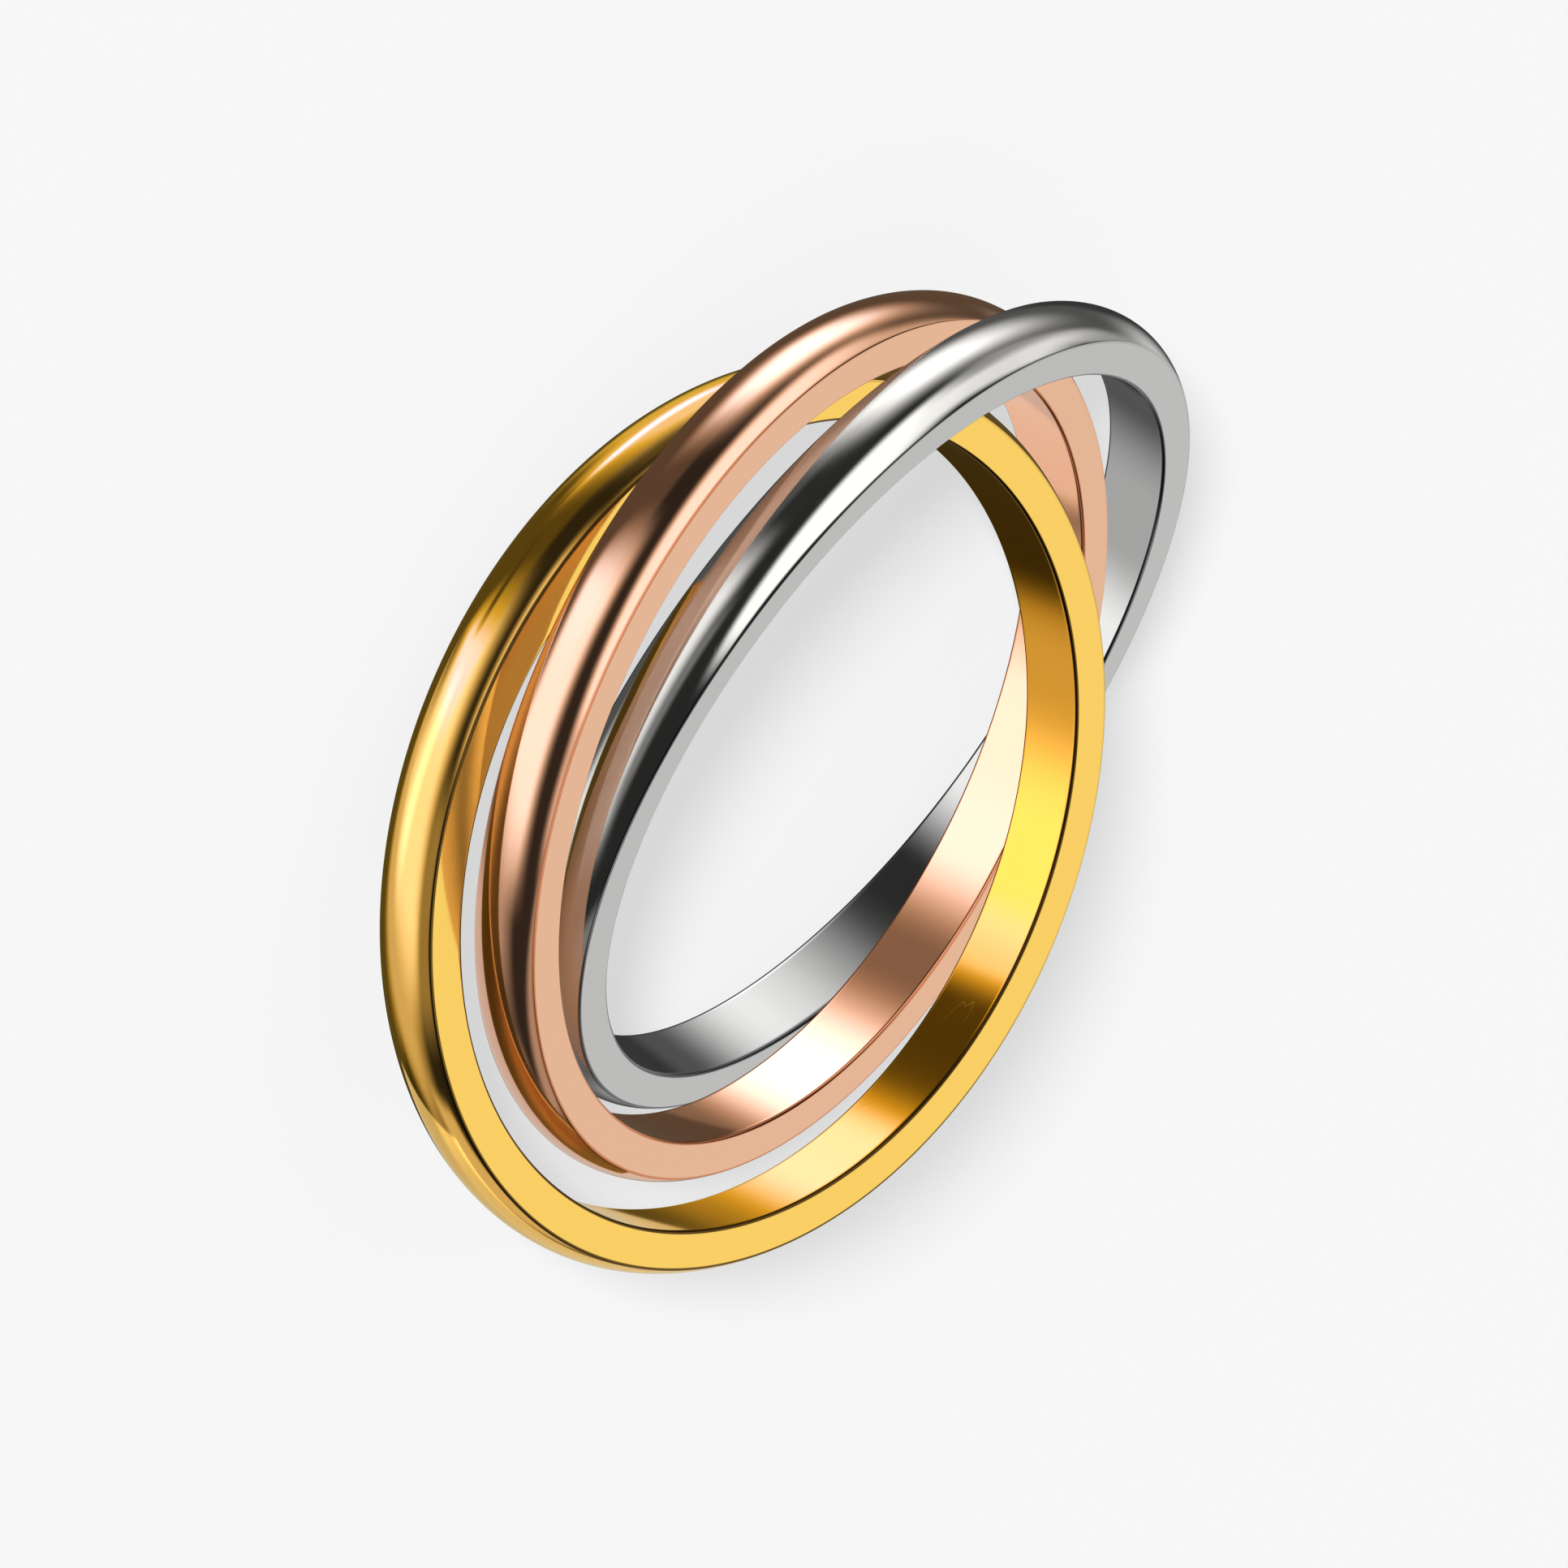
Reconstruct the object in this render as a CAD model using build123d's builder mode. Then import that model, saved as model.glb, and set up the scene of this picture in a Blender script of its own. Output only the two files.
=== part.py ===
from build123d import *
from math import asin, cos, radians, sin, sqrt
import os

# A rolling ring of three equal bands that pass through one another, lying loose on its side.
# Lengths are in millimetres and angles in degrees. The frame has +Z up, with its origin on the
# surface that the ring lies on, below the middle of the three bands.

# Section of a band: a flat bore, two flat sides and a domed outside
bore_radius = 8.75
wall = 1.12
width = 1.55
dome_height = 0.27
bore_edge_round = 0.08
side_edge_round = 0.05

# Each outer band is turned from the middle one about a crossing line through the middle one's
# centre, and slid along that line until it passes inside the other's bore at one end and outside
# the other's dome at the far end. The two crossing lines lie this far either side of X.
yellow_turn_deg = -12.4
white_turn_deg = 12.7
line_heading_deg = 21.5

# Room left between the walls where an outer band passes the middle one
yellow_play = 0.1
white_play = 0.3

# The white band also hangs this far to the side of its crossing line
white_sag = 0.15

# Lean of the middle band about X and about Y, at which both outer bands touch the surface
lean_x_deg = -1.08
lean_y_deg = 4.71

half_width = width / 2
middle_radius = bore_radius + wall / 2
outer_radius = bore_radius + wall
side_radius = outer_radius - dome_height

# The dome's arc, and the arc that rounds the edge between the dome and a side
dome_radius = (half_width**2 + dome_height**2) / (2 * dome_height)
dome_centre = outer_radius - dome_radius
edge_height = half_width - side_edge_round
edge_centre = dome_centre + sqrt((dome_radius - side_edge_round) ** 2 - edge_height**2)


def slide(turn, play):
    """How far along its crossing line a turned band must lie for its wall to clear the other's."""
    clearing_angle = asin(width / (middle_radius * sin(radians(abs(turn)))))
    return (wall + play) / cos(clearing_angle)


def crossing_plane(turn, heading, along, aside):
    """Plane of a band that is turned about a crossing line and moved from the middle band."""
    line = Vector(1, 0, 0).rotate(Axis.Z, heading)
    across = Vector(0, 0, 1).cross(line)
    axis = Vector(0, 0, 1).rotate(Axis((0, 0, 0), line), turn)
    return Plane(line * along + across * aside, x_dir=line, z_dir=axis)


def reach(plane, direction):
    """How far a band on this plane reaches along a direction, from the origin."""
    along_axis = abs(plane.z_dir.dot(direction))
    across_axis = sqrt(1 - along_axis**2)
    if along_axis > edge_height / (dome_radius - side_edge_round):
        rim = edge_centre * across_axis + edge_height * along_axis + side_edge_round
    else:
        rim = dome_centre * across_axis + dome_radius
    return plane.origin.dot(direction) + rim


def make_band(plane):
    """One band, revolved about the axis of its plane."""
    section_plane = Plane(plane.origin, x_dir=plane.x_dir, z_dir=-plane.y_dir)
    with BuildPart() as band:
        with BuildSketch(section_plane) as section:
            with BuildLine():
                Polyline(
                    (side_radius, half_width),
                    (bore_radius, half_width),
                    (bore_radius, -half_width),
                    (side_radius, -half_width),
                )
                ThreePointArc((side_radius, -half_width), (outer_radius, 0), (side_radius, half_width))
            make_face()
            fillet(section.vertices().group_by(Axis.X)[0], radius=bore_edge_round)
            fillet(section.vertices().group_by(Axis.X)[-1], radius=side_edge_round)
        revolve(axis=Axis(plane.origin, plane.z_dir))
    return band


# The three planes about the middle band's centre: yellow slides towards -X and white towards +X
yellow_slide = slide(yellow_turn_deg, yellow_play)
white_slide = slide(white_turn_deg, white_play)
flat_planes = {
    "yellow_band": crossing_plane(yellow_turn_deg, line_heading_deg, -yellow_slide, 0),
    "rose_band": Plane.XY,
    "white_band": crossing_plane(white_turn_deg, -line_heading_deg, white_slide, -white_sag),
}

# The same planes as they lean, and the step that brings them over the origin and onto the surface
lean = Location((0, 0, 0), (lean_x_deg, lean_y_deg, 0))
leaning_planes = {name: Plane(lean * plane.location) for name, plane in flat_planes.items()}


def overall_reach(direction):
    """How far the whole ring reaches along a direction."""
    return max(reach(plane, Vector(*direction)) for plane in leaning_planes.values())


step = Location((
    (overall_reach((-1, 0, 0)) - overall_reach((1, 0, 0))) / 2,
    (overall_reach((0, -1, 0)) - overall_reach((0, 1, 0))) / 2,
    overall_reach((0, 0, -1)),
))

os.makedirs("parts", exist_ok=True)
for name, leaning_plane in leaning_planes.items():
    band = make_band(Plane(step * leaning_plane.location))
    band.part.label = name
    export_step(band.part, f"parts/{name}.step")
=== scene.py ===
"""A rolling ring of three linked gold bands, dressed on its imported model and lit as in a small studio.

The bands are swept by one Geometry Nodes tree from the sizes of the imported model. Each gets a polished gold
alloy of its own, and mirrors a light tent of its own that nothing else sees: the soft boxes and dark cards
that a jeweller's photographer stands about a ring. All lengths are in metres.
"""

from __future__ import annotations

import logging
from dataclasses import dataclass
from enum import Enum
from math import cos, radians, sin
from typing import Any, TypeAlias

import bmesh
import bpy
import numpy as np
from mathutils import Euler, Matrix, Vector


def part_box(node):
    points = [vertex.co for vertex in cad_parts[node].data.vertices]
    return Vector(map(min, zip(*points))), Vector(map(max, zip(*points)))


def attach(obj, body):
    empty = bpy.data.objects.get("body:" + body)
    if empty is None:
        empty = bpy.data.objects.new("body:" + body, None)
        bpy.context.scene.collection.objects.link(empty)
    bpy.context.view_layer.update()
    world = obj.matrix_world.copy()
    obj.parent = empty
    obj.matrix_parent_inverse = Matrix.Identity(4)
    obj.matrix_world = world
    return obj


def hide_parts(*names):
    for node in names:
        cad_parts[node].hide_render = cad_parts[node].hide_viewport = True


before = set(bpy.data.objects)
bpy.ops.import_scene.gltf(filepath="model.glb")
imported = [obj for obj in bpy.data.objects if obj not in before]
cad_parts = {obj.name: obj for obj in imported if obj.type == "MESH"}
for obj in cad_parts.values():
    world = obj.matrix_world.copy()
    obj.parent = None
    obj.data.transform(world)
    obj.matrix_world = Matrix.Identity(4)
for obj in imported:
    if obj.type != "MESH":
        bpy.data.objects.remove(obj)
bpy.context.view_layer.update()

LOG = logging.getLogger("rolling_ring")
MM = 0.001
PLAIN_WHITE = (1.0, 1.0, 1.0)
# The kinds of ray that a thing made for reflections alone is hidden from.
BLIND_RAYS = ("camera", "diffuse", "transmission", "volume_scatter", "shadow")

Number: TypeAlias = "Term | float"
Span: TypeAlias = tuple[float, float]
Colour: TypeAlias = tuple[float, float, float]


class Term:
    """A number that varies, held as a socket of a node tree. Python's operators add the Math nodes."""

    def __init__(self, graph: "Graph", socket: bpy.types.NodeSocket) -> None:
        """Wraps a socket of the graph's tree."""
        self.graph = graph
        self.socket = socket

    def maths(self, operation: str, *others: Number, first: Number | None = None) -> "Term":
        """Adds one Math node.

        Args:
            operation: The node's operation.
            others: The second and third numbers.
            first: What stands in the first place, if not this term.

        Returns:
            The node's result.
        """
        numbers = [self if first is None else first, *others]
        node = self.graph.add("ShaderNodeMath", {"operation": operation}, dict(enumerate(numbers)))
        return Term(self.graph, node.outputs[0])

    def __add__(self, other: Number) -> "Term":
        """self + other."""
        return self.maths("ADD", other)

    def __sub__(self, other: Number) -> "Term":
        """self - other."""
        return self.maths("SUBTRACT", other)

    def __mul__(self, other: Number) -> "Term":
        """self * other."""
        return self.maths("MULTIPLY", other)

    def __truediv__(self, other: Number) -> "Term":
        """self / other."""
        return self.maths("DIVIDE", other)

    def __pow__(self, other: Number) -> "Term":
        """self ** other."""
        return self.maths("POWER", other)

    def __radd__(self, other: float) -> "Term":
        """other + self."""
        return self + other

    def __rmul__(self, other: float) -> "Term":
        """other * self."""
        return self * other

    def __rsub__(self, other: float) -> "Term":
        """other - self."""
        return self.maths("SUBTRACT", self, first=other)

    def __rtruediv__(self, other: float) -> "Term":
        """other / self."""
        return self.maths("DIVIDE", self, first=other)

    def __abs__(self) -> "Term":
        """The number without its sign."""
        return self.maths("ABSOLUTE")

    def __lt__(self, other: Number) -> "Term":
        """1 where self is less than other, else 0."""
        return self.maths("LESS_THAN", other)

    def __gt__(self, other: Number) -> "Term":
        """1 where self is greater than other, else 0."""
        return self.maths("GREATER_THAN", other)

    def ramp(self, low: float, high: float, at_low: float = 0.0, at_high: float = 1.0) -> "Term":
        """Goes smoothly from one value to another while this number goes from low to high.

        Args:
            low: The number at which the change starts.
            high: The number at which it ends.
            at_low: The result up to low.
            at_high: The result from high on.

        Returns:
            The eased value.
        """
        values = {"Value": self, "From Min": low, "From Max": high, "To Min": at_low, "To Max": at_high}
        node = self.graph.add("ShaderNodeMapRange", {"interpolation_type": "SMOOTHSTEP"}, values)
        return Term(self.graph, node.outputs["Result"])


class Graph:
    """A node tree that is being built."""

    def __init__(self, tree: bpy.types.NodeTree) -> None:
        """Takes a tree and empties it."""
        self.tree = tree
        tree.nodes.clear()

    def add(self, kind: str, settings: dict[str, Any] | None = None,
            values: dict[Any, Any] | None = None) -> bpy.types.Node:
        """Adds a node, with its settings first and then what its sockets hold.

        Args:
            kind: The node's type.
            settings: Its attributes by name.
            values: What each input socket takes, by name or place: a number, a colour, a vector, a term
                or another socket.

        Returns:
            The node.
        """
        node = self.tree.nodes.new(kind)
        for name, setting in (settings or {}).items():
            setattr(node, name, setting)
        for key, value in (values or {}).items():
            socket = node.inputs[key]
            source = value.socket if isinstance(value, Term) else value
            if isinstance(source, bpy.types.NodeSocket):
                self.tree.links.new(source, socket)
            else:
                socket.default_value = source
        return node

    def term(self, node: bpy.types.Node, output: str | int = 0) -> Term:
        """One output of a node as a term."""
        return Term(self, node.outputs[output])

    def joined(self, x: Number, y: Number, z: Number) -> bpy.types.NodeSocket:
        """A vector of three numbers."""
        return self.add("ShaderNodeCombineXYZ", {}, {0: x, 1: y, 2: z}).outputs[0]

    def parts(self, vector: bpy.types.NodeSocket) -> tuple[Term, Term, Term]:
        """The three numbers of a vector."""
        node = self.add("ShaderNodeSeparateXYZ", {}, {0: vector})
        return self.term(node, 0), self.term(node, 1), self.term(node, 2)

    def noise(self, vector: bpy.types.NodeSocket, scale: float, detail: float = 2.0,
              roughness: float = 0.55) -> Term:
        """Soft noise between 0 and 1, with so many features to a unit of the vector."""
        values = {"Vector": vector, "Scale": scale, "Detail": detail, "Roughness": roughness}
        return self.term(self.add("ShaderNodeTexNoise", {}, values), "Fac")

    def blended(self, share: Number, first: Any, second: Any) -> bpy.types.NodeSocket:
        """A colour between two colours, through the sockets of the Mix node that take colours."""
        node = self.add("ShaderNodeMix", {"data_type": "RGBA"}, {0: share, 6: first, 7: second})
        return node.outputs[2]


def opaque(colour: Colour) -> tuple[float, float, float, float]:
    """The colour as a socket takes it, with full alpha."""
    return (*colour, 1.0)


def new_material(name: str) -> tuple[bpy.types.Material, Graph]:
    """Makes a material.

    Args:
        name: Its name.

    Returns:
        The material and its empty graph.
    """
    made = bpy.data.materials.new(name)
    made.use_nodes = True
    return made, Graph(made.node_tree)


def new_object(name: str, data: bpy.types.ID) -> bpy.types.Object:
    """Makes an object in the scene.

    Args:
        name: Its name.
        data: Its mesh, light or camera.

    Returns:
        The object.
    """
    made = bpy.data.objects.new(name, data)
    bpy.context.scene.collection.objects.link(made)
    return made


class Alloy(Enum):
    """The gold alloys of the bands."""

    YELLOW = "yellow_gold"
    ROSE = "rose_gold"
    WHITE = "white_gold"


@dataclass(frozen=True)
class PolishedGold:
    """A polished alloy: its mirror colours, polishing lines, hairlines, smears and worn edges, and painted
    reflections.

    Attributes:
        alloy: Which alloy it is.
        colour: How much red, green and blue it mirrors, in linear light.
        deep: The same where it is faintly darker, for the slight unevenness of the tone.
        inside: The same in the bore, a painted tint that stands in for the light the bore mirrors of itself.
        side_painted_tint: The same on the flat sides, a painted tint that stands in for the light they
            mirror.
        edge_line: The colour of painted dark reflections in the fine lines where a side meets the dome and
            the bore.
        gloss: Roughness of the clean surface.
        smeared: How much rougher a smear is.
        scratched: How much rougher a hairline is.
        brushed: How much rougher a polishing line is.
        rubbed: How much rougher a worn edge is.
        line_pitch: Distance from one polishing line to the next.
        line_depth: How far the lines go in.
        line_changes: How often a line changes along its length, to a metre.
        line_lean: How far a step outwards leads through the lines, where a step along the axis is 1.
        hairline_depth: How far the hairlines go in.
        smears: How many smears there are to a metre.
        rubs: How many worn places there are to a metre of edge.
        bore_tone: Where the bore's painted tint begins to fade and where it ends, counted outwards from the
            bore.
        side_tone: Where the side's painted tint begins and where it is full, counted inwards from the side.
        dome_line: Where the painted line at the dome begins to fade and where it ends, counted from its
            middle.
        bore_line: The same for the painted line at the bore.
        bore_inset: How far the middle of that line lies in from the bore and from the side.
        bore_line_share: How strong that line is.
        faded_from_to: Where along X the painted line at the dome begins to fade and where it is faintest.
        faded_share: How strong it is at these two places.
        softness: Roughness of the copy that the other bands mirror.
        density: How much each of that copy's walls hides what is behind it.
    """

    alloy: Alloy
    colour: Colour
    deep: Colour
    inside: Colour
    side_painted_tint: Colour
    edge_line: Colour
    gloss: float = 0.085
    smeared: float = 0.02
    scratched: float = 0.06
    brushed: float = 0.015
    rubbed: float = 0.03
    line_pitch: float = 0.07 * MM
    line_depth: float = 0.00004 * MM
    line_changes: float = 0.22 / MM
    line_lean: float = 0.73
    hairline_depth: float = 0.00025 * MM
    smears: float = 0.45 / MM
    rubs: float = 1.4 / MM
    bore_tone: Span = (0.02 * MM, 0.06 * MM)
    side_tone: Span = (0.02 * MM, 0.005 * MM)
    dome_line: Span = (0.03 * MM, 0.055 * MM)
    bore_line: Span = (0.035 * MM, 0.055 * MM)
    bore_inset: float = 0.023 * MM
    bore_line_share: float = 0.9
    faded_from_to: Span = (-2.0 * MM, 5.0 * MM)
    faded_share: Span = (0.85, 0.15)
    softness: float = 0.35
    density: float = 1.0

    def material(self, band: "BandSizes") -> bpy.types.Material:
        """Makes the finish for one band.

        Args:
            band: The band, whose centre and axis the polishing lines follow.

        Returns:
            The material.
        """
        made, graph = new_material(f"polished_{self.alloy.value}")
        place = graph.add("ShaderNodeTexCoord").outputs["Object"]
        values = {"Vector": place, "Location": band.centre, "Rotation": band.turn}
        own = graph.add("ShaderNodeMapping", {"vector_type": "TEXTURE"}, values).outputs[0]
        x, y, z = graph.parts(own)
        out = (x * x + y * y) ** 0.5
        across = (z + out * self.line_lean) / self.line_pitch
        lines = graph.noise(graph.joined(x * self.line_changes, y * self.line_changes, across), 1.0, 3.0)
        hairs = self.hairlines(graph, own)
        smears = graph.noise(own, self.smears)
        edge = graph.term(graph.add("ShaderNodeAttribute", {"attribute_name": "worn_edge"}), "Fac")
        wear = edge * graph.noise(own, self.rubs).ramp(0.3, 0.7, 0.35, 1.0)
        tone = graph.blended(smears.ramp(0.3, 0.75), opaque(self.colour), opaque(self.deep))
        # Painted tints on the bore and the flat sides, standing in for the light that they mirror.
        tone = self.toned(graph, band, tone, out, z)
        # Painted dark reflection lines along the edges.
        colour = self.lined(graph, band, tone, graph.parts(place)[0], out, z)
        rough = (self.gloss + smears.ramp(0.4, 0.8) * self.smeared + hairs * self.scratched
                 + lines.ramp(0.5, 0.8) * self.brushed + wear * self.rubbed)
        depth = lines * self.line_depth - hairs * self.hairline_depth
        values = {"Strength": 1.0, "Distance": 1.0, "Height": depth}
        bump = graph.add("ShaderNodeBump", {}, values).outputs[0]
        values = {"Base Color": colour, "Metallic": 1.0, "Roughness": rough, "Normal": bump}
        metal = graph.add("ShaderNodeBsdfPrincipled", {}, values)
        graph.add("ShaderNodeOutputMaterial", {}, {"Surface": metal.outputs[0]})
        return made

    def toned(self, graph: Graph, band: "BandSizes", tone: bpy.types.NodeSocket, out: Term,
              z: Term) -> bpy.types.NodeSocket:
        """Gives the bore and the flat sides painted tints of their own, for the light that they mirror.

        Args:
            graph: The material's tree.
            band: The band.
            tone: The colour of the dome.
            out: The distance from the band's axis.
            z: The place along the axis.

        Returns:
            The colour of every face.
        """
        half = band.width / 2
        # Painted tints: the bore and the flat sides get colours of their own that stand in for the light they
        # mirror.
        bore = (out - band.bore_radius).ramp(*self.bore_tone, 1.0, 0.0)
        flat = abs(z).ramp(half - self.side_tone[0], half - self.side_tone[1])
        return graph.blended(flat, graph.blended(bore, tone, opaque(self.inside)), opaque(self.side_painted_tint))

    def lined(self, graph: Graph, band: "BandSizes", tone: bpy.types.NodeSocket, x: Term, out: Term,
              z: Term) -> bpy.types.NodeSocket:
        """Paints dark lines where the flat sides meet the dome and the bore, as painted reflections of the
        edges.

        Args:
            graph: The material's tree.
            band: The band.
            tone: The colour of every face.
            x: The place across the whole ring, along which the dome's painted line fades.
            out: The distance from the band's axis.
            z: The place along the axis.

        Returns:
            The colour with the painted lines.
        """
        half = band.width / 2
        # Painted dark reflections of the edges: a line at the dome that fades across the ring along X, and
        # one at the bore.
        at_dome = self.near(abs(z) - half, out - band.edge_radius).ramp(*self.dome_line, 1.0, 0.0)
        at_dome = at_dome * x.ramp(*self.faded_from_to, *self.faded_share)
        at_bore = self.near(abs(z) - (half - self.bore_inset), out - (band.bore_radius + self.bore_inset))
        line = at_dome.maths("MAXIMUM", at_bore.ramp(*self.bore_line, self.bore_line_share, 0.0))
        return graph.blended(line, tone, opaque(self.edge_line))

    @staticmethod
    def near(aside: Term, outward: Term) -> Term:
        """How far a place of the section is from a point that lies so far aside and outward."""
        return (aside * aside + outward * outward) ** 0.5

    @staticmethod
    def hairlines(graph: Graph, own: bpy.types.NodeSocket) -> Term:
        """Sparse fine scratches that run mostly round the band.

        Args:
            graph: The material's tree.
            own: The place from the band's centre, with Z along its axis.

        Returns:
            1 in a scratch, 0 beside it.
        """
        x, y, z = graph.parts(own)
        along, across, slant = 0.3 / MM, 1.6 / MM, 0.25 / MM
        stretched = graph.joined(x * along, y * along, z * across + x * slant)
        wave = abs(graph.noise(stretched, 1.0, 1.0) - 0.5)
        gaps = graph.noise(own, 0.8 / MM).ramp(0.52, 0.62)
        return wave.ramp(0.001, 0.004, 1.0, 0.0) * gaps

    def softened(self) -> bpy.types.Material:
        """Makes a plain and duller finish, for what the other bands mirror of this one.

        Returns:
            The material.
        """
        made, graph = new_material(f"soft_{self.alloy.value}")
        values = {"Base Color": opaque(self.colour), "Metallic": 1.0, "Roughness": self.softness,
                  "Alpha": self.density}
        metal = graph.add("ShaderNodeBsdfPrincipled", {}, values)
        graph.add("ShaderNodeOutputMaterial", {}, {"Surface": metal.outputs[0]})
        return made


@dataclass(frozen=True)
class BandSizes:
    """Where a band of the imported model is, and its sizes.

    Attributes:
        centre: The middle of the band.
        axis: The direction of its axis.
        bore_radius: Radius of its hole.
        width: Its width along the axis.
        edge_radius: How far from the axis its sides end and its dome begins.
    """

    centre: Vector
    axis: Vector
    bore_radius: float
    width: float
    edge_radius: float

    @classmethod
    def measured(cls, node: str, side_height: float) -> "BandSizes":
        """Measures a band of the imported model.

        Args:
            node: The band's name.
            side_height: Height of its flat sides.

        Returns:
            Its place and sizes. The axis is the direction that its flat sides face.
        """
        low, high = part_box(node)
        centre = (low + high) / 2
        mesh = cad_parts[node].data
        points = np.array([corner.co for corner in mesh.vertices]) - np.array(centre)
        rough_axis = np.linalg.svd(points, full_matrices=False)[2][2]
        facing = np.array([face.normal * face.area for face in mesh.polygons])
        areas = np.array([face.area for face in mesh.polygons])
        nearly_along = cos(radians(5.0))
        flat = facing @ rough_axis > areas * nearly_along
        axis = facing[flat].sum(axis=0)
        axis /= np.linalg.norm(axis) * np.sign(axis[2])
        along = points @ axis
        out = np.linalg.norm(points - np.outer(along, axis), axis=1)
        bore = float(out.min())
        return cls(centre, Vector(axis), bore, float(along.max() - along.min()), bore + side_height)

    @property
    def turn(self) -> Euler:
        """The turn that brings the upright direction onto the axis."""
        return self.axis.to_track_quat("Z", "Y").to_euler()


@dataclass(frozen=True)
class Run:
    """A run of points of the section: an arc, or one point that keeps a flat face flat beside an edge.

    Attributes:
        count: How many points it has.
        aside: How far its centre lies from the band's middle plane.
        height: How far its centre lies from the axis.
        radius: The arc's radius.
        first: The angle at which the arc starts, counted from straight outwards.
        last: The angle at which it ends, which is its last point's.
        lead: How many steps its first point lies past its start.
        worn: 1 where the edge is worn, 0 elsewhere.
    """

    count: Number
    aside: Number
    height: Number
    radius: Number = 0.0
    first: Number = 0.0
    last: Number = 0.0
    lead: float = 1.0
    worn: float = 0.0


@dataclass
class BandSweep:
    """The tree that sweeps a band's section round its circle.

    Attributes:
        wall: Thickness of a band from its bore to the top of its dome.
        dome_height: How far the dome stands above its sides.
        bore_round: Radius of the edge between the bore and a side.
        side_round: Radius of the edge between a side and the dome.
        around: Steps round the circle.
        dome_steps: Points on half the dome.
        edge_steps: Points on each rounded edge.
        tree: The tree, once it is built.
    """

    wall: float = 1.12 * MM
    dome_height: float = 0.27 * MM
    bore_round: float = 0.08 * MM
    side_round: float = 0.05 * MM
    around: int = 512
    dome_steps: int = 20
    edge_steps: int = 7
    tree: bpy.types.NodeTree | None = None

    def build(self) -> None:
        """Builds the tree, with a named input for each size."""
        self.tree = bpy.data.node_groups.new("swept_band", "GeometryNodeTree")
        sockets = {"Bore Radius": "Float", "Wall": "Float", "Width": "Float", "Dome Height": "Float",
                   "Bore Edge Round": "Float", "Side Edge Round": "Float", "Steps Around": "Int",
                   "Dome Steps": "Int", "Edge Steps": "Int", "Centre": "Vector", "Turn": "Vector",
                   "Finish": "Material"}
        for name, kind in sockets.items():
            self.tree.interface.new_socket(name, in_out="INPUT", socket_type=f"NodeSocket{kind}")
        self.tree.interface.new_socket("Band", in_out="OUTPUT", socket_type="NodeSocketGeometry")
        graph = Graph(self.tree)
        given = graph.add("NodeGroupInput").outputs
        section = self.section(graph, {name: Term(graph, given[name]) for name in sockets})
        circle = graph.add("GeometryNodeCurvePrimitiveCircle", {},
                           {"Resolution": given["Steps Around"], "Radius": given["Bore Radius"]})
        swept = graph.add("GeometryNodeCurveToMesh", {},
                          {"Curve": circle.outputs[0], "Profile Curve": section})
        placed = graph.add("GeometryNodeTransform", {},
                           {"Geometry": swept.outputs[0], "Translation": given["Centre"],
                            "Rotation": given["Turn"]})
        smooth = graph.add("GeometryNodeSetShadeSmooth", {}, {"Geometry": placed.outputs[0]})
        real = graph.add("GeometryNodeRealizeInstances", {}, {"Geometry": smooth.outputs[0]})
        dressed = graph.add("GeometryNodeSetMaterial", {},
                            {"Geometry": real.outputs[0], "Material": given["Finish"]})
        graph.add("NodeGroupOutput", {}, {0: dressed.outputs[0]})

    def section(self, graph: Graph, size: dict[str, Term]) -> bpy.types.NodeSocket:
        """Draws the closed section: a low dome, two flat sides, a flat bore and four rounded edges.

        Half of the points are on each side of the middle. They run from the top of the dome down the side
        to the bore, in runs that are arcs, or single points that keep the flat faces flat beside an edge.

        Args:
            graph: The tree.
            size: The tree's inputs.

        Returns:
            The section as a closed curve, lying in the XY plane with X outwards from the bore.
        """
        half = size["Width"] / 2
        top = size["Bore Radius"] + size["Wall"]
        dome = (half * half + size["Dome Height"] ** 2.0) / (2 * size["Dome Height"])
        dome_centre = top - dome
        side, bore = size["Side Edge Round"], size["Bore Edge Round"]
        edge = half - side
        reach = dome - side
        edge_out = dome_centre + (reach * reach - edge * edge) ** 0.5
        end = (edge / reach).maths("ARCSINE")
        square = radians(90)
        n_dome, n_edge = size["Dome Steps"], size["Edge Steps"]
        clear = bore * 0.5
        inner = size["Bore Radius"]
        runs = [
            Run(n_dome, 0.0, dome_centre, dome, 0.0, end, lead=0.5),
            Run(n_edge, edge, edge_out, side, end, square, worn=1.0),
            Run(1.0, half, edge_out - clear),
            Run(1.0, half, inner + bore + clear),
            Run(n_edge, half - bore, inner + bore, bore, square, 2 * square, lead=0.0, worn=1.0),
            Run(1.0, half - bore - clear, inner),
        ]
        n_half = n_dome + n_edge * 2 + 3
        index = graph.term(graph.add("GeometryNodeInputIndex"))
        left = index > n_half - 0.5
        step = index + left * (2 * n_half - 1 - 2 * index)
        along: Number = 0.0
        out: Number = 0.0
        worn: Number = 0.0
        start: Number = 0.0
        for run in runs:
            within = (step > start - 0.5) * (step < start + run.count - 0.5)
            share = (step - start + run.lead) / (run.count - 1 + run.lead)
            angle = run.first + (run.last - run.first) * share
            along = within * (run.aside + run.radius * angle.maths("SINE")) + along
            out = within * (run.height + run.radius * angle.maths("COSINE")) + out
            worn = within * run.worn + worn
            start = run.count + start
        along = along * (1 - 2 * left)
        ring = graph.add("GeometryNodeCurvePrimitiveCircle", {}, {"Resolution": 2 * n_half, "Radius": 1.0})
        place_at = graph.joined(out - size["Bore Radius"], along, 0.0)
        bent = graph.add("GeometryNodeSetPosition", {}, {"Geometry": ring.outputs[0], "Position": place_at})
        stored = graph.add("GeometryNodeStoreNamedAttribute", {"data_type": "FLOAT", "domain": "POINT"},
                           {"Geometry": bent.outputs[0], "Name": "worn_edge", "Value": worn})
        return stored.outputs[0]

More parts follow.
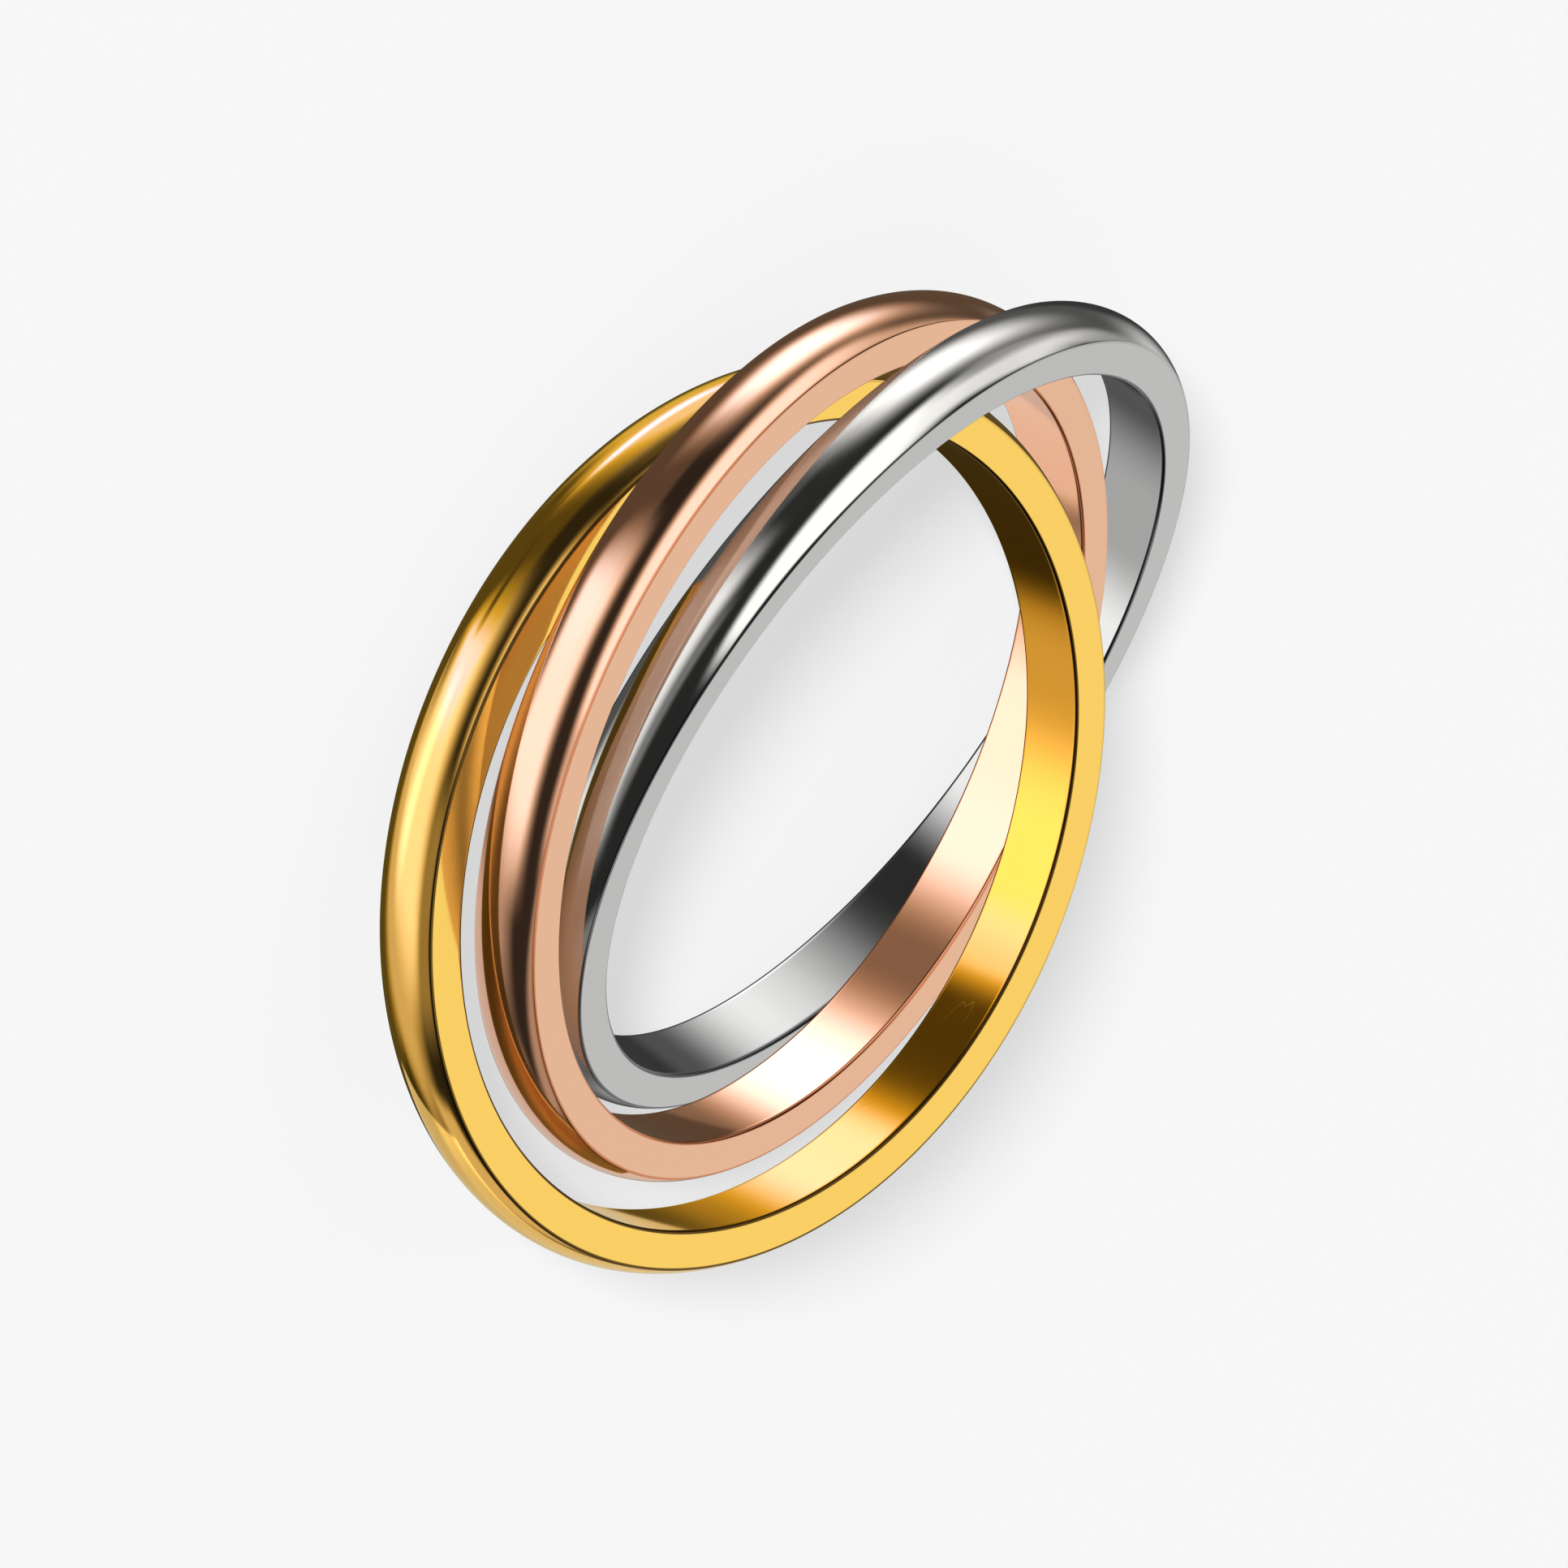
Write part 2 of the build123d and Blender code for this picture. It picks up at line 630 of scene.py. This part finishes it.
    def swept(self, name: str, band: BandSizes, finish: bpy.types.Material) -> bpy.types.Object:
        """Sweeps one band and returns it as a plain mesh.

        Args:
            name: The piece's name.
            band: Its place and sizes.
            finish: Its material.

        Returns:
            The piece.
        """
        carrier = new_object(name, bpy.data.meshes.new(name))
        modifier = carrier.modifiers.new("sweep", "NODES")
        modifier.node_group = self.tree
        given = {"Bore Radius": band.bore_radius, "Wall": self.wall, "Width": band.width,
                 "Dome Height": self.dome_height, "Bore Edge Round": self.bore_round,
                 "Side Edge Round": self.side_round, "Steps Around": self.around,
                 "Dome Steps": self.dome_steps, "Edge Steps": self.edge_steps,
                 "Centre": tuple(band.centre), "Turn": tuple(band.turn), "Finish": finish}
        for socket in self.tree.interface.items_tree:
            if socket.in_out == "INPUT":
                modifier[socket.identifier] = given[socket.name]
        bpy.context.view_layer.update()
        evaluated = carrier.evaluated_get(bpy.context.evaluated_depsgraph_get())
        mesh = bpy.data.meshes.new_from_object(evaluated)
        carrier.modifiers.clear()
        carrier.data = mesh
        mesh.name = name
        return carrier


def for_reflections(thing: bpy.types.Object) -> None:
    """Hides a thing of the stage from all but reflections."""
    for ray in BLIND_RAYS:
        setattr(thing, f"visible_{ray}", False)


@dataclass
class LinkedBand:
    """One band of the ring.

    Attributes:
        node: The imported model's name for it.
        body: The body that it moves with.
        finish: Its polished alloy.
        mirrored: The part of it that the other bands mirror, from and to an angle round it in degrees.
        sunk: How far that part's copy lies below the surface.
    """

    node: str
    body: str
    finish: PolishedGold
    mirrored: Span | None = None
    sunk: float = 0.02 * MM

    def build(self, sweep: BandSweep) -> bpy.types.Object:
        """Builds and dresses the band, and puts it in its node's place.

        Args:
            sweep: The tree that makes it.

        Returns:
            The piece.
        """
        sizes = BandSizes.measured(self.node, sweep.wall - sweep.dome_height)
        piece = sweep.swept(f"polished_{self.node}", sizes, self.finish.material(sizes))
        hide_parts(self.node)
        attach(piece, self.body)
        piece.visible_glossy = False
        if self.mirrored:
            self.mirror_arc(piece, sizes)
        return piece

    def mirror_arc(self, piece: bpy.types.Object, sizes: BandSizes) -> None:
        """Copies the arc of the band that lies before the others' rims, for their reflections alone.

        The flat sides and bores of the others would mirror the rest of the band, which a photographer hides
        from them with cards. A band looks the same however far it has spun, so the copy needn't move.

        Args:
            piece: The band.
            sizes: Its place and sizes.
        """
        mesh = piece.data.copy()
        mesh.name = f"arc_of_{piece.name}"
        mesh.materials[0] = self.finish.softened()
        centres = np.array([face.center for face in mesh.polygons]) - np.array(sizes.centre)
        turns = np.degrees(np.arctan2(centres[:, 1], centres[:, 0])) % 360
        first, last = self.mirrored
        sheet = bmesh.new()
        sheet.from_mesh(mesh)
        sheet.faces.ensure_lookup_table()
        outside = [sheet.faces[place] for place in np.flatnonzero((turns < first) | (turns > last))]
        for corner in sheet.verts:
            corner.co -= corner.normal * self.sunk
        bmesh.ops.delete(sheet, geom=outside, context="FACES")
        sheet.to_mesh(mesh)
        sheet.free()
        arc = new_object(mesh.name, mesh)
        for_reflections(arc)


@dataclass
class RollingRing:
    """The whole ring: three bands of one size in three alloys, each linked with the other two.

    Attributes:
        sweep: The tree that makes each band.
    """

    sweep: BandSweep

    def build(self) -> list[bpy.types.Object]:
        """Builds the bands in order.

        Returns:
            The pieces.
        """
        yellow = PolishedGold(Alloy.YELLOW, (0.97, 0.70, 0.27), (0.95, 0.68, 0.25), (0.96, 0.6, 0.12),
                              (0.965, 0.75, 0.225), (0.1, 0.06, 0.02))
        rose = PolishedGold(Alloy.ROSE, (0.96, 0.69, 0.54), (0.94, 0.67, 0.52), (0.95, 0.67, 0.52),
                            (0.95, 0.71, 0.55), (0.72, 0.36, 0.21), density=0.62)
        white = PolishedGold(Alloy.WHITE, (0.75, 0.74, 0.715), (0.73, 0.72, 0.70), (0.745, 0.74, 0.735),
                             (0.73, 0.725, 0.715), (0.16, 0.16, 0.17))
        self.sweep.build()
        bands = [
            LinkedBand("yellow_band", "yellow", yellow, (95.0, 225.0)),
            LinkedBand("rose_band", "rose", rose, (50.0, 215.0)),
            LinkedBand("white_band", "white", white),
        ]
        return [band.build(self.sweep) for band in bands]


@dataclass(frozen=True)
class Card:
    """A soft box or a dark card of the light tent, as seen from the ring, with angles in degrees.

    Attributes:
        name: What it is.
        azimuth: The direction of its middle, counted from +X towards +Y.
        elevation: How high its middle stands.
        half_width: Half its width in azimuth.
        half_height: Half its height in elevation.
        light: How bright it is, where 1 is paper white.
        slope: How much it rises for each degree of azimuth.
        soft_width: Width of its faded ends.
        soft_height: Height of its faded upper and lower edges.
    """

    name: str
    azimuth: float
    elevation: float
    half_width: float
    half_height: float
    light: float
    slope: float = 0.0
    soft_width: float = 14.0
    soft_height: float = 8.0

    def share(self, azimuth: Term, elevation: Term) -> Term:
        """How much of the card is seen in a direction.

        Args:
            azimuth: The direction looked at, in degrees.
            elevation: Its elevation, in degrees.

        Returns:
            1 in the card, 0 beside it.
        """
        aside = (azimuth - self.azimuth).maths("WRAP", 180.0, -180.0)
        above = elevation - self.elevation - aside * self.slope
        wide, high = self.soft_width / 2, self.soft_height / 2
        across = abs(aside).ramp(self.half_width - wide, self.half_width + wide, 1.0, 0.0)
        upward = abs(above).ramp(self.half_height - high, self.half_height + high, 1.0, 0.0)
        return across * upward


@dataclass(frozen=True)
class Tone:
    """The colours of a tent's dim and bright parts.

    Attributes:
        shade: The colour of what is dim.
        shine: The colour of what is bright.
        dim: The brightness up to which a part is dim.
        bright: The brightness from which on it is bright.
    """

    shade: Colour
    shine: Colour
    dim: float
    bright: float

    def at(self, graph: Graph, level: Term) -> bpy.types.NodeSocket:
        """The colour of a part of that brightness."""
        return graph.blended(level.ramp(self.dim, self.bright), opaque(self.shade), opaque(self.shine))


def clear_glow(name: str) -> tuple[bpy.types.Material, Graph]:
    """Makes a glowing material that isn't sampled as a lamp.

    Args:
        name: The material's name.

    Returns:
        The material and its empty graph.
    """
    made, graph = new_material(name)
    made.cycles.emission_sampling = "NONE"
    return made, graph


def finish_glow(graph: Graph, colour: Any) -> None:
    """Ends a glowing material, which lets through what is behind it.

    Args:
        graph: The material's graph.
        colour: What it shines in, a colour or a socket.
    """
    glow = graph.add("ShaderNodeEmission", {}, {"Color": colour})
    clear = graph.add("ShaderNodeBsdfTransparent")
    both = graph.add("ShaderNodeAddShader", {}, {0: glow.outputs[0], 1: clear.outputs[0]})
    graph.add("ShaderNodeOutputMaterial", {}, {"Surface": both.outputs[0]})


def mirrored_only_by(thing: bpy.types.Object, piece: str) -> None:
    """Keeps a glowing thing of the stage for the reflections of one band and of its mirrored arc.

    Args:
        thing: The thing.
        piece: The band's piece, by name.
    """
    for_reflections(thing)
    mirrors = bpy.data.collections.new(f"mirrors_{thing.name}")
    for name in (piece, f"arc_of_{piece}"):
        if name in bpy.data.objects:
            mirrors.objects.link(bpy.data.objects[name])
    thing.light_linking.receiver_collection = mirrors


@dataclass
class LightTent:
    """A shell far round the ring, painted with soft boxes and dark cards, that only one band mirrors.

    Attributes:
        piece: The band that mirrors it.
        ground: Brightness of the bare tent below the table's level.
        sky: Brightness of the bare tent above it.
        upper: Its colours where the domes mirror it.
        lower: Its colours where the bores mirror it too, well below the table's level and not on the
            far left.
        cards: What stands in it, from the farthest back to the nearest.
        radius: How far it stands from the ring. Each tent needs a radius of its own.
        horizon: How high above and below the table's level the ground fades into the sky, in degrees.
        lower_height: The elevations at which the lower colours are full and where they end.
        lower_width: The azimuths to either side at which they are full and where they end.
    """

    piece: str
    ground: float
    sky: float
    upper: Tone
    lower: Tone
    cards: list[Card]
    radius: float = 1.0
    horizon: float = 6.0
    lower_height: Span = (-28.0, -18.0)
    lower_width: Span = (125.0, 145.0)

    def build(self) -> bpy.types.Object:
        """Builds the shell.

        Returns:
            The shell, a part of the stage.
        """
        bpy.ops.mesh.primitive_uv_sphere_add(segments=64, ring_count=32, radius=self.radius)
        shell = bpy.context.object
        shell.name = f"tent_of_{self.piece}"
        shell.data.materials.append(self.paint())
        mirrored_only_by(shell, self.piece)
        return shell

    def paint(self) -> bpy.types.Material:
        """Paints the cards on the shell by their directions.

        Returns:
            The glowing material.
        """
        made, graph = clear_glow(f"tent_of_{self.piece}")
        x, y, z = graph.parts(graph.add("ShaderNodeTexCoord").outputs["Object"])
        azimuth = y.maths("ARCTAN2", x).maths("DEGREES")
        elevation = (z / self.radius).maths("ARCSINE").maths("DEGREES")
        level = elevation.ramp(-self.horizon, self.horizon, self.ground, self.sky)
        for card in self.cards:
            level = level + (card.light - level) * card.share(azimuth, elevation)
        below = elevation.ramp(*self.lower_height, 1.0, 0.0)
        below = below * abs(azimuth).ramp(*self.lower_width, 1.0, 0.0)
        tone = graph.blended(below, self.upper.at(graph, level), self.lower.at(graph, level))
        scaled = graph.add("ShaderNodeVectorMath", {"operation": "SCALE"}, {0: tone, "Scale": level})
        finish_glow(graph, scaled.outputs[0])
        return made


@dataclass
class TableCard:
    """A card on the table beside one band, so near that only the outside or only the bore mirrors it.

    Attributes:
        name: What it is.
        piece: The band that mirrors it.
        middle: The place on the table that it is laid out round.
        light: How much red, green and blue it shines.
        inner: Distance of its near edge from the middle.
        reach: How far it goes from there.
        turn_from: Where round the middle the near edge starts, in degrees.
        turn_to: Where it ends.
        edge_from: The direction of the side edge at its start, in degrees.
        edge_to: The direction of the side edge at its end.
        depth: How far it lies below the table's surface.
        steps: How many faces it is made of.
    """

    name: str
    piece: str
    middle: Span
    light: Colour
    inner: float
    reach: float
    turn_from: float
    turn_to: float
    edge_from: float
    edge_to: float
    depth: float = 0.5 * MM
    steps: int = 48

    def build(self) -> bpy.types.Object:
        """Builds the card just under the table's surface.

        Returns:
            The card, a part of the stage.
        """
        corners, faces = [], []
        for step in range(self.steps + 1):
            share = step / self.steps
            turn = radians(self.turn_from + (self.turn_to - self.turn_from) * share)
            edge = radians(self.edge_from + (self.edge_to - self.edge_from) * share)
            near = (self.middle[0] + self.inner * cos(turn), self.middle[1] + self.inner * sin(turn))
            far = (near[0] + self.reach * cos(edge), near[1] + self.reach * sin(edge))
            corners += [(*near, -self.depth), (*far, -self.depth)]
            if step:
                faces.append((2 * step - 2, 2 * step - 1, 2 * step + 1, 2 * step))
        mesh = bpy.data.meshes.new(self.name)
        mesh.from_pydata(corners, [], faces)
        card = new_object(self.name, mesh)
        made, graph = clear_glow(self.name)
        finish_glow(graph, opaque(self.light))
        mesh.materials.append(made)
        mirrored_only_by(card, self.piece)
        return card


class CardPlan:
    """Where the cards stand for each band, as a photographer sets them anew for each band's shot."""

    @staticmethod
    def yellow() -> LightTent:
        """Plans the tent of the yellow band.

        Returns:
            The tent.
        """
        upper = Tone((1.0, 0.88, 0.62), (1.0, 1.0, 1.3), 0.4, 1.5)
        lower = Tone((0.95, 0.8, 0.26), (1.0, 1.12, 3.0), 0.8, 1.45)
        cards = [
            Card("dark gap", 84, -8, 20, 16, 0.07, 0.0, 16, 12),
            Card("light wall on the left", -108, 9, 38, 10, 0.78, 0.22, 8, 8),
            Card("back wall", -58, 44, 34, 40, 1.0, 0.0, 20, 14),
            Card("dark strip beside the wall", -143, 24, 24, 9, 0.05, 0.0, 14, 8),
            Card("overhead tent", 0, 75, 180, 20, 1.0, 0.0, 2, 20),
            Card("table on the far left", -166, -46, 36, 42, 0.77, -0.2, 40, 26),
            Card("table towards the camera", 146, -38, 42, 36, 1.2, 0.22, 32, 32),
            Card("bright spot towards the camera", 156, -47, 24, 8, 1.5, 0.0, 30, 12),
            Card("front edge of the table", 95, -53, 15, 4.5, 0.17, 0.0, 16, 6),
            Card("dark floor behind", -90, -31, 40, 9, 0.11, 0.0, 16, 8),
            Card("table on the near right", 8, -52, 38, 13, 0.85, 0.0, 24, 12),
            Card("table on the right", 32, -37, 27, 18, 1.04, 0.0, 36, 24),
            Card("bright strip on the near right", 30, -49, 24, 5, 1.36, -0.17, 30, 8),
            Card("soft box", 110, 25, 28, 13, 0.95, 0.22, 22, 12),
            Card("end of the soft box", 168, 15, 26, 9, 0.45, 0.0, 20, 10),
            Card("back of the soft box", 20, 38, 50, 28, 1.0, 0.0, 30, 16),
        ]
        return LightTent("polished_yellow_band", 0.2, 0.07, upper, lower, cards)

    @staticmethod
    def rose() -> LightTent:
        """Plans the tent of the rose band.

        Returns:
            The tent.
        """
        upper = Tone((1.0, 0.86, 0.72), (1.0, 1.0, 1.06), 0.4, 1.5)
        lower = Tone((1.0, 0.79, 0.6), (1.0, 1.03, 1.12), 0.2, 1.25)
        cards = [
            Card("dark gap", 82, -6, 16, 15, 0.07, 0.0, 16, 12),
            Card("light wall on the left", -103, -32, 33, 30, 0.74, 0.0, 12, 16),
            Card("back wall", -58, 26, 34, 42, 0.88, 0.0, 20, 18),
            Card("upper wall on the left", -145, 36, 34, 17, 0.57, -0.6, 14, 10),
            Card("overhead tent", 0, 75, 180, 22, 1.0, 0.0, 2, 20),
            Card("table on the far left", -172, -44, 24, 36, 0.6, 0.0, 30, 30),
            Card("table towards the camera", 140, -33, 38, 35, 1.28, 0.15, 30, 26),
            Card("table on the right", 33, -32, 25, 18, 1.66, 0.0, 40, 26),
            Card("low end of the soft box", 14, 10, 30, 9, 0.74, 0.0, 26, 14),
            Card("large soft box", 88, 37.5, 62, 20, 1.24, 0.33, 34, 16),
            Card("faded end of the soft box", 163, 47, 20, 11, 0.85, 0.0, 30, 14),
        ]
        return LightTent("polished_rose_band", 0.2, 0.08, upper, lower, cards, radius=1.1)

    @staticmethod
    def white() -> LightTent:
        """Plans the tent of the white band.

        Returns:
            The tent.
        """
        plain = Tone(PLAIN_WHITE, PLAIN_WHITE, 0.4, 1.5)
        cards = [
            Card("dark gap", 82, -8, 17, 16, 0.08, 0.0, 16, 12),
            Card("back wall", -58, 14, 32, 32, 0.81, 0.0, 20, 18),
            Card("upper back wall", -105, 44, 32, 13, 1.2, 0.0, 20, 12),
            Card("dark end of the table", -48, -32, 22, 8, 0.1, 0.0, 14, 8),
            Card("upper wall on the left", -138, 18, 9, 12, 0.38, 0.0, 10, 10),
            Card("table on the far left", -158, -30, 44, 24, 0.66, 0.0, 50, 20),
            Card("table towards the camera", 146, -27, 42, 33, 1.2, 0.12, 26, 26),
            Card("table on the right", 33, -32, 26, 20, 1.55, 0.0, 44, 28),
            Card("dim strip under the soft box", 0, 4, 32, 7, 0.55, 0.0, 24, 8),
            Card("low end of the soft box", 20, 21, 27, 12, 1.07, 0.35, 24, 12),
            Card("large soft box", 88, 49, 51, 24, 1.38, 0.38, 32, 12),
            Card("dark ceiling", 95, 74, 90, 15, 0.17, 0.0, 40, 6),
            Card("dark strip beyond the soft box", 145, 14, 26, 5, 0.38, 0.0, 20, 10),
        ]
        return LightTent("polished_white_band", 0.2, 0.07, plain, plain, cards, radius=1.2)

    @staticmethod
    def on_the_table() -> list[TableCard]:
        """Plans the cards on the table, for the yellow band's outside and for the rose band's bore.

        Returns:
            The cards.
        """
        yellow, rose = "polished_yellow_band", "polished_rose_band"
        beside_yellow, under_rose = (-1.88 * MM, -0.31 * MM), (-0.085 * MM, 0.395 * MM)
        return [
            TableCard("far_sheet", yellow, beside_yellow, (0.62, 0.61, 0.57), 10.3 * MM, 110 * MM,
                      189, 300, 225, 300),
            TableCard("bore_sheet", rose, under_rose, (0.17, 0.14, 0.11), 1.0 * MM, 7.4 * MM,
                      0, 360, 0, 360),
        ]


@dataclass
class Studio:
    """The table, the light on it and the camera.

    Attributes:
        paper: Brightness of the table's paper.
        paper_rough: Roughness of the paper.
        table_size: Length of the table's sides.
        sky_light: Strength of the even light from all round.
        fill_light: Strength of the light that comes straight down and throws no shadow.
        lamp_light: Strength of the large soft lamp.
        lamp_from: The direction from the ring to the lamp.
        lamp_spread: How wide the lamp looks from the ring, in degrees.
        focal_length: The camera's focal length, in millimetres.
        film_width: The width of its film, in millimetres.
        clear_from: How near to the camera things are seen.
        eye: Where the camera stands.
        ahead: The direction it looks in.
        upward: The direction in the room that is up in the picture, turned as the photograph was.
        contrast: How much the picture's shadows are deepened.
    """

    paper: float = 0.8
    paper_rough: float = 0.9
    table_size: float = 6.0
    sky_light: float = 0.06
    fill_light: float = 2.87
    lamp_light: float = 1.62
    lamp_from: tuple[float, float, float] = (-0.44, 0.8, 0.42)
    lamp_spread: float = 9.0
    focal_length: float = 237.6
    film_width: float = 36.0
    clear_from: float = 0.01
    eye: tuple[float, float, float] = (-0.091938, 0.15946, 0.113824)
    ahead: tuple[float, float, float] = (0.42424, -0.74355, -0.51688)
    upward: tuple[float, float, float] = (0.61297, 0.65593, -0.44047)
    contrast: float = 1.4

    def build(self) -> None:
        """Sets up the camera, the table and the lights."""
        self.camera()
        self.table()
        self.lights()
        bpy.context.scene.view_settings.view_transform = "Standard"
        bpy.context.scene.view_settings.gamma = 1 / self.contrast
        bpy.context.scene.cycles.caustics_reflective = False

    def camera(self) -> None:
        """Stands the camera where the bands' edges look as they do in the photograph."""
        lens = bpy.data.cameras.new("camera")
        lens.lens = self.focal_length
        lens.sensor_width = self.film_width
        lens.clip_start = self.clear_from
        camera = new_object("camera", lens)
        ahead = Vector(self.ahead).normalized()
        right = ahead.cross(Vector(self.upward)).normalized()
        turned = Matrix((right, right.cross(ahead), -ahead)).transposed().to_4x4()
        camera.matrix_world = Matrix.Translation(self.eye) @ turned
        bpy.context.scene.camera = camera

    def table(self) -> None:
        """Lays the pale paper under the ring."""
        bpy.ops.mesh.primitive_plane_add(size=self.table_size)
        sheet = bpy.context.object
        sheet.name = "paper"
        sheet.visible_glossy = False
        made, graph = new_material("white_paper")
        values = {"Base Color": opaque((self.paper, self.paper, self.paper)), "Roughness": self.paper_rough,
                  "Specular IOR Level": 0.0}
        matt = graph.add("ShaderNodeBsdfPrincipled", {}, values)
        graph.add("ShaderNodeOutputMaterial", {}, {"Surface": matt.outputs[0]})
        sheet.data.materials.append(made)

    def lights(self) -> None:
        """Lights the paper: evenly from all round, from above, and by a large soft lamp for the shadow."""
        world = bpy.data.worlds.new("studio")
        bpy.context.scene.world = world
        world.use_nodes = True
        graph = Graph(world.node_tree)
        values = {"Color": opaque(PLAIN_WHITE), "Strength": self.sky_light}
        sky = graph.add("ShaderNodeBackground", {}, values)
        graph.add("ShaderNodeOutputWorld", {}, {"Surface": sky.outputs[0]})
        world.cycles_visibility.glossy = False
        self.lamp("fill", self.fill_light, (0.0, 0.0, 1.0), 0.0, shadow=False)
        self.lamp("soft_lamp", self.lamp_light, self.lamp_from, self.lamp_spread, shadow=True)

    def lamp(self, name: str, strength: float, source: tuple[float, float, float], spread: float,
             shadow: bool) -> None:
        """Adds a far lamp that the metal doesn't mirror.

        Args:
            name: Its name.
            strength: How bright it is.
            source: The direction from the ring to the lamp.
            spread: How wide it looks from the ring, in degrees.
            shadow: Whether it throws shadows.
        """
        sun = bpy.data.lights.new(name, "SUN")
        sun.energy = strength
        sun.angle = radians(spread)
        sun.use_shadow = shadow
        lamp = new_object(name, sun)
        lamp.rotation_euler = Vector(source).to_track_quat("Z", "Y").to_euler()
        lamp.visible_glossy = False


def main() -> None:
    """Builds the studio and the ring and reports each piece."""
    logging.basicConfig(level=logging.INFO, format="%(message)s")
    Studio().build()
    for piece in RollingRing(BandSweep()).build():
        LOG.info("%s: %s, %d faces", piece.name, piece.data.materials[0].name, len(piece.data.polygons))
    for thing in (CardPlan.yellow(), CardPlan.rose(), CardPlan.white(), *CardPlan.on_the_table()):
        LOG.info("%s: a part of the stage, for reflections alone", thing.build().name)


if __name__ == "__main__":
    main()
